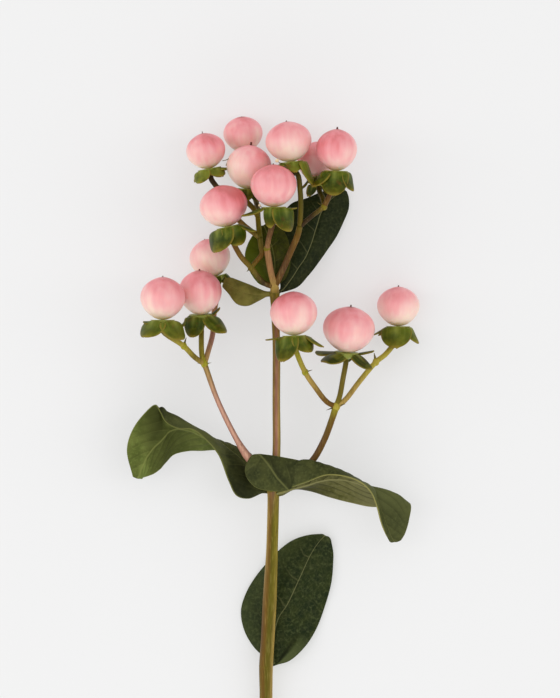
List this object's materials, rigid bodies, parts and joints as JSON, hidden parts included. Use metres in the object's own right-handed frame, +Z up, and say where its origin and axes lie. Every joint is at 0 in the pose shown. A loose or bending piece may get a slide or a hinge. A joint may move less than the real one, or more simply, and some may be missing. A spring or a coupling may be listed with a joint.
{
  "type": "hypericum berry stem",
  "caption": "Cut woody stem lying on its side, with round pink berries in leafy calyces on forked stalks and wavy dark green leaves along it.",
  "frame": {"origin": "middle of the box's underside, on the surface the stem lies on", "axes": "+Y along the stem from its cut end to its topmost berries, +Z up from the surface, +X to the right seen from above"},
  "size_m": [0.0881, 0.219, 0.032],
  "materials": {
    "berry": "satin berry skin, pink at the tip and cream at the base",
    "calyx": "matte green sepals with yellow-green roots",
    "stem": "smooth bark, orange-brown on one side and olive on the other",
    "stalk": "smooth thin bark, pinkish tan to brown",
    "dark_leaf": "dark green upper side, pale olive underside, satin",
    "young_leaf": "olive young leaf, satin"
  },
  "bodies": {
    "root": {"stem": "stem", "stalks_left": "stalk", "stalks_right": "stalk", "stalks_top": "stalk", "leaf_lower": "dark_leaf", "leaf_middle_left": "dark_leaf", "leaf_middle_right": "dark_leaf", "leaf_top_right": "dark_leaf", "leaf_top_back": "dark_leaf", "leaf_top_left": "young_leaf", "berry_01": "berry", "calyx_01": "calyx", "berry_02": "berry", "calyx_02": "calyx", "berry_03": "berry", "calyx_03": "calyx", "berry_04": "berry", "calyx_04": "calyx", "berry_05": "berry", "calyx_05": "calyx", "berry_06": "berry", "calyx_06": "calyx", "berry_07": "berry", "calyx_07": "calyx", "berry_08": "berry", "calyx_08": "calyx", "berry_09": "berry", "calyx_09": "calyx", "berry_10": "berry", "calyx_10": "calyx", "berry_11": "berry", "calyx_11": "calyx", "berry_12": "berry", "calyx_12": "calyx", "berry_13": "berry", "calyx_13": "calyx", "berry_14": "berry", "calyx_14": "calyx"}
  },
  "joints": []
}
